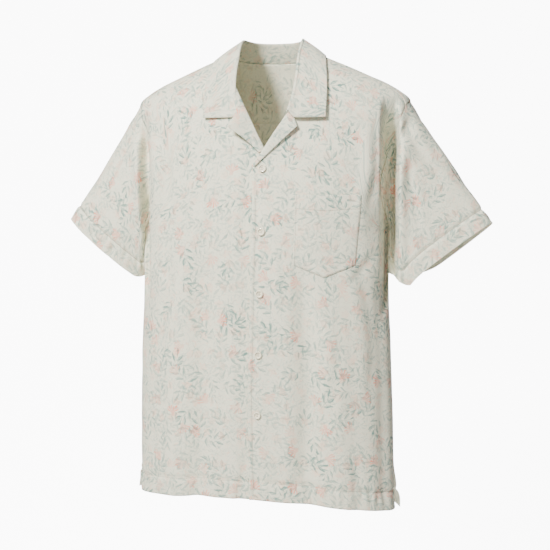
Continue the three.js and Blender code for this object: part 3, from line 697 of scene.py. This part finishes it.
# A front: rows from hem to armpit run from the centre edge to the side seam; above the armpit
# each row joins a point of the roll line or neck seam to a point of the armhole.
def frontGrid(side):
    lower, upper = fronts["rows"]
    u = np.linspace(0, 1, fronts["columns"])[None]
    low = (np.arange(lower) / lower)[:, None]
    guess = mix(hem["side"], body["armpit"], low)
    inner = turnAt(centreAt(guess) - side * fronts["overlap"], guess)
    turnLow = mix(inner, side * (90 - fronts["seamShort"]), u)
    levelLow = mix(hemLevel(turnLow), body["armpit"], low)
    k = np.linspace(0, 12, upper)[:, None]
    steps = np.arange(13)
    inLevel = np.interp(k, steps, body["inner"])
    straight = turnAt(centreAt(inLevel) - side * fronts["overlap"], inLevel)
    rolled = turnAt(side * rollX(np.minimum(inLevel, fronts["gorge"]), side), inLevel)
    seam = side * np.interp(k, steps, [0] * 7 + [row["turn"] for row in body["neck"][:6]])
    upperTurn = np.where(inLevel <= fronts["gorge"], rolled, seam)
    inTurn = np.where(inLevel <= fronts["break"], straight, upperTurn)
    turnHigh = mix(inTurn, side * np.minimum(armholeAt(k, "front"), 90 - fronts["seamShort"]), u)
    levelHigh = mix(inLevel, armholeAt(k, "level"), u)
    turn, level = np.concatenate((turnLow, turnHigh)), np.concatenate((levelLow, levelHigh))
    # a shallow valley along the armhole's seam, above the armpit
    seamOut = 0.7 * np.exp(-((1 - u) * fronts["chest"] / 5) ** 2) * (level > body["armpit"] + 7)
    points = valley(onBody(turn, level, frontRelief(turn, level, side) - seamOut))
    across = runAlong(points, 1) * side + (bodyForm(turn, level)[:, :1, 0] - centreAt(level[:, :1]))
    return points, np.stack((across, runAlong(points, 0) + fronts["printShift"] * side), axis=-1)


for label, side in (("left", 1), ("right", -1)):
    piece = clothPiece("frontPanel" + label.title(), *frontGrid(side), (0, -1, 0), bodyCloth, insideClothPaintedLight)
    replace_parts(piece, "front_" + label)
print("fronts are made")

# Back and yoke

backPanel = {"rows": (150, 66), "columns": 170, "cornerTurn": 22, "ramp": 75}


# The back: rows run from one side seam round the back to the other; the sides follow the
# armholes above the armpit, and below the vents the corners flare out as a squared ramp.
def backGrid():
    lower, upper = backPanel["rows"]
    u = np.linspace(0, 1, backPanel["columns"])[None]
    low = (np.arange(lower) / lower)[:, None]
    turnLow = mix(90 + fronts["seamShort"], 270 - fronts["seamShort"], u) + 0 * low
    levelLow = mix(hemLevel(turnLow), body["armpit"], low)
    k = np.linspace(0, 11, upper)[:, None]
    armTurn = armholeAt(k, "back")
    turn = np.concatenate((turnLow, mix(armTurn, 360 - armTurn, u)))
    level = np.concatenate((levelLow, armholeAt(k, "level") + 0 * u))
    x = bodyForm(turn, level)[..., 0]
    near = np.maximum(0, 1 - np.minimum(turn - 90, 270 - turn) / backPanel["cornerTurn"])
    out = hem["flare"] * near ** 2 * ease((hem["ventTop"] + 20 - level) / backPanel["ramp"])
    out = out + foldOut(turn, level) + creaseOut(x, level, body["backCreases"])
    out = out + 0.28 * ripple(x, level, 80, 5.0)
    out = out + hem["strength"] * hemOut(level - hemLevel(turn), x, 7.0, hem["depth"])
    points = onBody(turn, level, out)
    across = runAlong(points, 1)
    across = across - across[:, across.shape[1] // 2][:, None]
    return points, np.stack((-across, runAlong(points, 0) + hem["depth"]), axis=-1)


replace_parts(clothPiece("backPanel", *backGrid(), (0, 1, 0), bodyCloth, insideClothPaintedLight), "back")

yoke = {"rows": 60, "steps": 200, "lap": 0.55, "backSeam": -102, "frontSeam": -86,
        "neckTurns": (65, 72, 81, 90, 100, 110)}


# The yoke: columns run from the neck seam out to the armholes and the back seam, for turns from
# one forward shoulder seam round the back of the neck to the other.
def yokeGrid():
    top = [row for row in body["armhole"] if row["level"] >= yoke["frontSeam"]]
    down = [row for row in reversed(body["armhole"]) if row["level"] >= yoke["backSeam"]]
    outer = [(row["front"], row["level"]) for row in top]
    outer = np.array(outer + [(row["back"], row["level"]) for row in down if row["back"] > 90], float)
    share = np.arange(1, 9) / 8
    inner = np.concatenate((yoke["neckTurns"], mix(yoke["neckTurns"][-1], 180, share)))
    behind = np.stack((mix(outer[-1, 0], 180, share), np.full(8, yoke["backSeam"])), axis=-1)
    outer = np.concatenate((outer, behind))
    inner = np.concatenate((inner, 360 - inner[-2::-1]))
    outer = np.concatenate((outer, np.stack((360 - outer[-2::-1, 0], outer[-2::-1, 1]), axis=-1)))
    k = np.linspace(0, len(inner) - 1, yoke["steps"])[None]
    steps = np.arange(len(inner))
    inTurn, outTurn, outLevel = (np.interp(k, steps, a) for a in (inner, outer[:, 0], outer[:, 1]))
    v = np.linspace(0, 1, yoke["rows"])[:, None]
    turn = mix(inTurn, outTurn, v)
    level = mix(neckLevel(np.minimum(inTurn, 360 - inTurn)), outLevel, v)
    x, y, z = np.moveaxis(bodyForm(turn, level), -1, 0)
    out = yoke["lap"] + 0.2 * ripple(x, y + z, 60, 1.4) + creaseOut(x, z, body["backCreases"]) * (y > 30)
    return onBody(turn, level, out), np.stack((x * 1.12, -y * 0.9 + z * 0.55 + 400), axis=-1)


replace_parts(clothPiece("yokePanel", *yokeGrid(), (0, 1, 0.5), bodyCloth, insideClothPaintedLight), "yoke")
print("back and yoke are made")

# Sleeves, left and right of the wearer. The creases' first number is the run round from the top
# line, and the second the run down from the armhole.

sleeves = {
    "left": {"x": 286, "level": -326.5, "half": 87, "depth": 34, "lean": 37.4, "power": 2.7, "drop": 7,
             "under": (-30, -38, 30), "corner": 6, "arrive": (0, -22, -50), "leave": 58,
             "valley": 7, "seed": 1.0,
             "creases": columns("ax az bx bz width depth", (-62, 12, -44, 120, 9, 3.2),
                 (-40, 60, -8, 170, 9, 2.0), (40, 20, 62, 100, 9, 2.2), (-20, 12, 20, 60, 7, 1.2),
                 (-90, 40, -120, 110, 8, 1.8), (-55, 150, -20, 215, 9, 1.6), (120, 30, 90, 150, 9, 2.0)),
             "puckers": columns("along width depth", (-70, 5, 1.2), (-124, 4, 1.4))},
    "right": {"x": 287.7, "level": -320, "half": 81.5, "depth": 34, "lean": 39.9, "power": 2, "drop": 0,
              "under": (3, -6, 9), "corner": 0, "arrive": None, "leave": 40,
              "valley": 6, "seed": 4.0,
              "creases": columns("ax az bx bz width depth", (62, 10, 46, 118, 9, 3.0),
                  (44, 52, 8, 160, 9, 2.2), (-38, 22, -60, 104, 9, 2.0), (16, 12, -24, 58, 7, 1.3),
                  (92, 40, 116, 112, 8, 1.8), (54, 150, 22, 212, 9, 1.4), (-118, 34, -92, 150, 9, 2.0)),
              "puckers": columns("along width depth", (64, 3.5, 2.6), (74, 3, 2.0), (112, 5, 3.6),
                  (126, 3, 1.8))},
    "rows": 110, "columns": 150, "clear": 1.9,
}


# A sleeve: cubic curves from the armhole's points to an oval cuff across a leaning axis. They
# leave along the body's cloth and arrive along the axis. Flat measures run round from the top
# and up from the cuff.
def sleeveGrid(label):
    side, row = (1 if label == "left" else -1), sleeves[label]
    arm = body["armhole"]
    loop = [(r["front"], r["level"]) for r in arm] + [(r["back"], r["level"]) for r in arm[-2::-1]]
    loop = np.array(loop, float)
    knots = bodyForm(side * loop[:, 0], loop[:, 1])
    run = runAlong(knots[None], 1)[0]
    at = np.linspace(0, run[-1], sleeves["columns"])
    turn, level = np.interp(at, run, loop[:, 0]), np.interp(at, run, loop[:, 1])
    normal = bodyNormal(side * turn, level)
    edge = bodyForm(side * turn, level) + normal * foldOut(side * turn, level)[:, None]
    top = run[len(arm) - 1]
    angle = np.where(at <= top, np.pi * (1 - at / top), -np.pi * (at - top) / (run[-1] - top))
    lean = math.radians(row["lean"])
    axis = np.array((side * math.sin(lean), 0, -math.cos(lean)))
    across = np.array((side * math.cos(lean), 0, math.sin(lean)))
    c, s, power = np.cos(angle)[:, None], np.sin(angle)[:, None], row["power"]
    r = (np.abs(c) ** power + np.abs(s) ** power) ** (-1 / power)
    wide = np.radians(np.where(angle > 0, 37, 80))
    inner = ease((np.abs(angle) - np.pi + wide) / wide)[:, None]
    rim = (np.array((side * row["x"], 0, row["level"])) + across * row["half"] * r * c
           + np.array((0, -1, 0)) * row["depth"] * r * s + np.array((0, 0, 1)) * row["drop"] * s
           + np.array(row["under"]) * inner
           + axis * row["corner"] * np.exp(-((angle[:, None] - 2.75) / 0.4) ** 2))
    tangent = unit(np.gradient(edge, axis=0))
    away = unit(np.cross(tangent, normal))
    away = np.where((away[:, 0] * side - away[:, 2] * 0.2 < 0)[:, None], -away, away)
    low = (at < 22) | (at > run[-1] - 22)
    away = np.where((low & (away[:, 2] < 0))[:, None], -away, away)
    under = ease((0.25 - away @ axis) / 0.6)[:, None]
    start = edge + away * mix(0.2, 0, under) + normal * mix(-0.2, 1.4, under)
    leave = away * mix(row["leave"], 0, under) + normal * 2 * under + np.array((0, 0, -34)) * under
    arrive = mix(axis * 70, np.array(row["arrive"] or axis * 70), inner)
    t = np.linspace(0, 1, sleeves["rows"])[:, None, None]
    points = ((1 + 2 * t) * (1 - t) ** 2 * start + t * (1 - t) ** 2 * leave
              + t * t * (3 - 2 * t) * rim + t * t * (t - 1) * arrive)
    points = np.where((under > 0.5) & (t > 0.1), liftOff(points, sleeves["clear"]), points)
    around = runAlong(points, 1)
    topColumn = int(np.argmin(np.abs(at - top)))
    around = (around - around[:, topColumn:topColumn + 1]) * side
    down = runAlong(points, 0)
    fromCuff = down[-1:] - down
    normals = gridNormals(points, (side, 0, 0.6))
    # the deep fold between body and sleeve: a trough beside the seam, none over the shoulder
    facing = np.where(points[..., 1] < 0, row["valley"], 0.75 * row["valley"])
    trough = np.exp(-((down - 16 - 0.03 * np.abs(around)) / 9) ** 2)
    trough = trough - 0.35 * np.exp(-((down - 38) / 12) ** 2)
    out = creaseOut(around, down, row["creases"])
    for p in row["puckers"]:
        off = ((around - p["along"]) / p["width"]) ** 2 + ((fromCuff - 13) / 11) ** 2
        out = out - p["depth"] * np.exp(-off)
    out = out - facing * ease((np.abs(around) - 22) / 70) * ease((235 - np.abs(around)) / 60) * trough
    out = out + 0.3 * ripple(around, down, 62, row["seed"])
    out = out + hem["sleeves"] * hemOut(fromCuff, around, row["seed"] + 2, sleeveHem)
    points = valley(points + normals * (out * ease(down / 14))[..., None])
    return points, np.stack((around, fromCuff), axis=-1)


for label, side in (("left", 1), ("right", -1)):
    grid = sleeveGrid(label)
    piece = clothPiece("sleevePanel" + label.title(), *grid, (side, 0, 0.6), sleeveCloth, insideClothPaintedLight)
    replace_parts(piece, "sleeve_" + label)
print("sleeves are made")

# Collar and lapels

collar = {
    "rows": columns("k turn foldX foldY foldZ edgeX edgeY edgeZ", (0, 180, 0, 60, 26, 0, 88, -34),
        (1, 160, 18, 57.5, 26, 29, 85, -34), (2, 140, 33, 49, 26, 55, 75, -32),
        (3, 120, 42.5, 35, 26, 71, 55, -26), (4, 100, 47.5, 17, 25.5, 80, 29, -15),
        (5, 83, 49, 0, 24, 84, 2, -6), (6, 65, 50, -18, 18, 85.5, -22, -13),
        (7, 46, 49.5, -36, 5, 88.5, -44, -31), (8, 31, 49, -52, -12, 92, -61, -55),
        (9, 19.5, 49.5, -70, -38, 94, -76, -78), (10, 13.5, 47.5, -87, -68, 94, -86, -94),
        (11, 10.6, 39.5, -98.6, -100.6, 94, -92, -105.5)),
    "gap": 1.9, "clear": 2.8, "columns": 90,
    "dip": {"left": 6, "right": 5}, "corner": {"left": 5, "right": 3.5},
    "lift": {"left": 7, "right": 3.5}, "forward": {"left": 10, "right": 2},
}


# The collar: each column rises from the neck seam, turns over the fold in a half circle and
# runs straight down to the edge, lifted where it would sink into the body. One half is worked
# out from the middle of the back to the front's notch, and the other is its mirror image.
def collarHalf(label):
    k = np.linspace(0, 11, collar["columns"])
    at = {name: through(collar["rows"], "k", name)(k) for name in collar["rows"][0]}
    turn = at["turn"]
    level = neckLevel(turn)
    normal = bodyNormal(turn, level)
    before, after = bodyForm(turn - 1, neckLevel(turn - 1)), bodyForm(turn + 1, neckLevel(turn + 1))
    away = unit(np.cross(before - after, normal))
    away = np.where(away[:, 2:] < 0, -away, away)
    seam = bodyForm(turn, level) - away * 1.5 + normal * 1.45
    foldY = at["foldY"] - collar["forward"][label] * ease((k - 5.5) / 4)
    fold = np.stack((at["foldX"], foldY, at["foldZ"]), axis=-1)
    edge = liftOff(np.stack((at["edgeX"], at["edgeY"], at["edgeZ"]), axis=-1), collar["clear"] + 0.3)
    edge = edge + bodyNormal(np.degrees(np.arctan2(edge[:, 0], -edge[:, 1])), edge[:, 2]) * (
        collar["lift"][label] * ease((k - 6) / 4.5))[:, None]
    end = ease((k - 10.1) / 0.9)[:, None]
    outward = unit((edge - fold) * (1, 1, 0))
    gap = collar["gap"]
    stand = mix(-normal, -outward, 0.5)
    column = [mix(seam, fold - outward * gap, s) + stand * 0.8 * math.sin(math.pi * s)
              for s in np.linspace(0, 0.9, 10)]
    for a in np.linspace(0, math.pi, 9):
        rise = np.array((0, 0, 1)) * gap * (math.sin(a) - 0.3)
        column.append(fold - outward * gap * math.cos(a) + rise)
    for v in np.linspace(0.05, 1, 26):
        dip = collar["corner"][label] * v ** 0.3 + collar["dip"][label] * min(v / 0.12, (1 - v) / 0.88)
        bow = 1.6 * math.sin(math.pi * v)
        leaf = mix(fold + outward * gap, edge, v) + outward * bow - np.array((0, 0, 1)) * (end * dip)
        column.append(liftOff(leaf, collar["clear"]))
    return np.stack(column, axis=0)


# Both halves side by side; flat measures run along the leaf and down from the seam.
def collarGrid():
    points = np.concatenate((collarHalf("right")[:, :0:-1] * (-1, 1, 1), collarHalf("left")), axis=1)
    across = runAlong(points, 1)
    across = across[20] - across[20][points.shape[1] // 2]
    down = runAlong(points, 0)
    return points, np.stack((np.broadcast_to(across, down.shape), -down + 90), axis=-1)


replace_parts(clothPiece("collarPanel", *collarGrid(), (0, 1, 0), collarClothPaintedShade, collarClothPaintedShade, 1.0), "collar")


# A lapel: rows square to the roll line, from the break up to the gorge. Across, each row curls
# up beside the front's edge, over it and out to the lapel's own edge.
def lapelGrid(side):
    table = lapels["left" if side > 0 else "right"]
    corners = [row["along"] for row in table]
    even = np.linspace(corners[0], corners[-1], lapels["rows"])
    along = np.unique(np.concatenate((even, corners)))[:, None]
    width = np.interp(along, corners, [row["width"] for row in table])
    rollWay = np.array((fronts["gorgeX"][side] + fronts["overlap"], fronts["gorge"] - fronts["break"]), float)
    rollWay = rollWay / np.hypot(*rollWay)
    turned = 0 if side > 0 else ease((45 - along) / 15) * math.radians(lapels["turned"])
    wayX = rollWay[1] * np.cos(turned) + rollWay[0] * np.sin(turned)
    wayZ = -rollWay[0] * np.cos(turned) + rollWay[1] * np.sin(turned)
    scale = 1 / (wayX * rollWay[1] - wayZ * rollWay[0])
    curlIn = np.array((-0.9, -0.95, -0.85, -0.55, -0.05, 0.7))
    curlOut = np.array((-0.4, 0.3, 1.1, 1.9, 2.4, 2.6))
    u = np.linspace(0.1, 1, 22)
    inX = np.concatenate((curlIn * scale + 0 * along, np.maximum(width * scale * u, 1.2 + u)), axis=1)
    rise = mix(0, lapels["lift"][side] * (width / 24) ** 1.3, u)
    out = np.concatenate((curlOut + 0 * along, mix(2.6, 2.3, u) + 0.5 * np.sin(np.pi * u) + rise), axis=1)
    rolled = rollOut(-fronts["overlap"] + rollWay[0] * along, fronts["break"] + rollWay[1] * along, side)
    out = out + rolled * np.concatenate((np.ones(6), 1 - 0.55 * u))
    x = -fronts["overlap"] + rollWay[0] * along + wayX * inX
    z = fronts["break"] + rollWay[1] * along + wayZ * inX
    turn = turnAt(side * x, z)
    points = onBody(turn, z, out + tuckOut(turn, z, side))
    return points, np.stack((side * x * 1.02, z + 0 * x), axis=-1)


for label, side in (("left", 1), ("right", -1)):
    grid = lapelGrid(side)
    piece = clothPiece("lapel" + label.title(), *grid, (0, -1, 0), collarClothPaintedShade, collarClothPaintedShade, 0.9)
    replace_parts(piece, "facing_" + label)
print("collar and lapels are made")

# Pocket

pocket = {"top": -228, "corner": -337, "point": -356, "topX": (51, 149), "lowX": (48, 142), "hem": 22,
          "width": 98, "height": 110, "mean": 115, "above": 0.9, "belly": 1.0, "rows": 70, "columns": 60,
          "print": (7, 752)}


# The pocket: the front's own surface between two slanting sides, moved out, with its bottom
# edge a V; it bellies a little in the middle.
def pocketGrid():
    u = np.linspace(0, 1, pocket["columns"])[None]
    v = np.linspace(0, 1, pocket["rows"])[:, None]
    level = mix(mix(pocket["point"], pocket["corner"], np.abs(2 * u - 1)), pocket["top"], v)
    inX, outX = (mix(pocket["lowX"][k], pocket["topX"][k], v) for k in (0, 1))
    x = mix(inX, outX, u)
    turn = turnAt(x, level)
    belly = pocket["belly"] * np.sin(np.pi * u) * (0.3 + 0.7 * v)
    out = frontRelief(turn, level, 1) + pocket["above"] + belly + 0.2 * ripple(x, level, 30, 9.0)
    fromTop = (1 - v) * pocket["height"] + 0 * u
    rim = np.minimum(np.minimum(u, 1 - u) * pocket["width"], fromTop)
    out = out - 0.35 * np.exp(-((rim - 2.2) / 1.2) ** 2)
    out = out - 0.4 * np.exp(-((fromTop - pocket["hem"]) / 1.5) ** 2)
    return onBody(turn, level, out), np.stack((x, level), axis=-1) + pocket["print"]


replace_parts(clothPiece("pocketPanel", *pocketGrid(), (0, -1, 0), bodyCloth, insideClothPaintedLight, 0.8), "pocket")

# Buttons

buttons = {"levels": (-187.5, -285, -382, -479, -577), "height": 2.6, "rise": 1.5,
           "hole": 0.75, "spread": 1.45, "pit": 1.2, "spokes": 72, "under": 0.93}
buttonProfile = columns("r h", (0, 0.3), (3.3, 0.3), (3.8, 0.4), (4.4, 0.95), (5.1, 1.0), (5.6, 0.88),
    (5.95, 0.5), (6, 0.3))


# A button: a disc on rings and spokes, its height a curve of the radius, with four pits for the
# thread, each a steep bell around its centre; a flat underside closes it.
def buttonPiece(number, level):
    r = np.concatenate((np.linspace(0.01, 3.6, 16), np.linspace(3.8, 6, 12)))[:, None]
    a = np.linspace(0, 2 * np.pi, buttons["spokes"], endpoint=False)[None]
    x, y = r * np.cos(a), r * np.sin(a)
    height = through(buttonProfile, "r", "h")(r) * buttons["height"] + 0 * a
    for cx, cy in ((-1, -1), (-1, 1), (1, -1), (1, 1)):
        away = np.hypot(x - cx * buttons["spread"], y - cy * buttons["spread"])
        height = height - buttons["pit"] * ease((buttons["hole"] + 0.25 - away) / 0.3)
    face = np.stack((x, y, height), axis=-1)
    under = np.stack((x * buttons["under"], y * buttons["under"], 0 * height), axis=-1)[::-1]
    grid = np.concatenate((face, under))
    turn = turnAt(centreAt(level), level)
    n = bodyNormal(turn, level)
    origin = bodyForm(turn, level) + n * (frontRelief(turn, level, 1) + buttons["rise"])
    e1 = unit(np.cross((0, 0, 1.0), n))
    e2 = np.cross(n, e1)
    spin = 0.3 * math.sin(number * 2.3)
    f1 = e1 * math.cos(spin) + e2 * math.sin(spin)
    f2 = e2 * math.cos(spin) - e1 * math.sin(spin)
    world = origin + grid[..., :1] * f1 + grid[..., 1:2] * f2 + grid[..., 2:] * n
    index = np.arange(world.shape[0] * world.shape[1]).reshape(world.shape[:2])
    beside = np.roll(index, -1, axis=1)
    quads = np.stack((index[:-1], index[1:], beside[1:], beside[:-1]), axis=-1).reshape(-1, 4)
    ends = [index[0][::-1].tolist(), index[-1].tolist()]
    mesh = bpy.data.meshes.new(f"button{number}")
    mesh.from_pydata((world.reshape(-1, 3) * 0.001).tolist(), [], quads.tolist() + ends)
    mesh.polygons.foreach_set("use_smooth", np.ones(len(mesh.polygons), bool))
    mesh.materials.append(buttonLook)
    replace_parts(handIn(addObject(f"button{number}", mesh)), f"button_{number}")
    lines = []
    steps = np.linspace(0, 1, 9)[:, None]
    lift = buttons["height"] * 0.3 + 0.35 * np.sin(np.pi * steps) - 0.1
    for s in (-1, 1):
        xy = mix(np.array((-1, s)), np.array((1, s)), steps) * buttons["spread"]
        lines.append((origin + xy[:, :1] * f1 + xy[:, 1:] * f2 + lift * n, np.broadcast_to(n, (9, 3))))
    return lines


threadLines = []
for number, level in enumerate(buttons["levels"], 1):
    threadLines += buttonPiece(number, float(level))
stitchPiece("buttonThread", threadLines, 0.95, 1.0, 0.55)
print("pocket and buttons are made")

# Stitching: each line is a row or a column of a piece's grid, just above the cloth

paths = []


def stitchLine(name, row, column, above=0.45):
    row, column = np.broadcast_arrays(np.asarray(row, float), np.asarray(column, float))
    top = onGrid(grids[name][1], row, column)
    paths.append((onGrid(grids[name][0], row, column) + unit(top) * above, top))


hemRow = hem["depth"] * fronts["rows"][0] / 453  # the rows below the armpit cover 453 mm
for name, edge in (("frontPanelLeft", 1.6), ("frontPanelRight", 2.5)):
    stitchLine(name, hemRow, np.linspace(1, fronts["columns"] - 2, 400))
    stitchLine(name, np.linspace(2, 168, 600), edge)
for row in (hemRow, sum(backPanel["rows"]) - 2.2):
    stitchLine("backPanel", row, np.linspace(2, backPanel["columns"] - 3, 600))
for column in (1.5, yoke["steps"] - 2.5):
    stitchLine("yokePanel", np.linspace(1, yoke["rows"] - 2, 200), column)
for name in ("sleevePanelLeft", "sleevePanelRight"):
    runs = runAlong(grids[name][0], 0).T
    rowAt = np.array([np.interp(run[-1] - sleeveHem, run, np.arange(len(run))) for run in runs])
    cols = np.linspace(0.5, sleeves["columns"] - 1.5, 500)
    stitchLine(name, np.interp(cols, np.arange(len(rowAt)), rowAt), cols)
rows, cols = pocket["rows"] - 1, pocket["columns"] - 1
for column in (1.2, cols - 1.2):
    stitchLine("pocketPanel", np.linspace(0, rows, 200), column)
for row in (1.2, rows * (1 - pocket["hem"] / pocket["mean"])):
    stitchLine("pocketPanel", row, np.linspace(0, cols, 200))
stitchPiece("seamStitching", paths)
print("stitching is made")

# Each piece as cut, before sewing: width, length and area in metres
cuts = {
    "frontPanelLeft": ((0.33, 0.78), 0.205), "frontPanelRight": ((0.33, 0.78), 0.205),
    "backPanel": ((0.62, 0.69), 0.36), "yokePanel": ((0.50, 0.24), 0.078),
    "sleevePanelLeft": ((0.46, 0.24), 0.074), "sleevePanelRight": ((0.46, 0.24), 0.074),
    "collarPanel": ((0.50, 0.11), 0.045), "lapelLeft": ((0.105, 0.03), 0.002),
    "lapelRight": ((0.122, 0.036), 0.0027), "pocketPanel": ((0.105, 0.135), 0.0128),
}
for name, (flatSize, area) in cuts.items():
    measured = sum(face.area for face in pieces[name].data.polygons)
    print("cut", name, "area of the made surface", round(measured, 4), "stated", area)
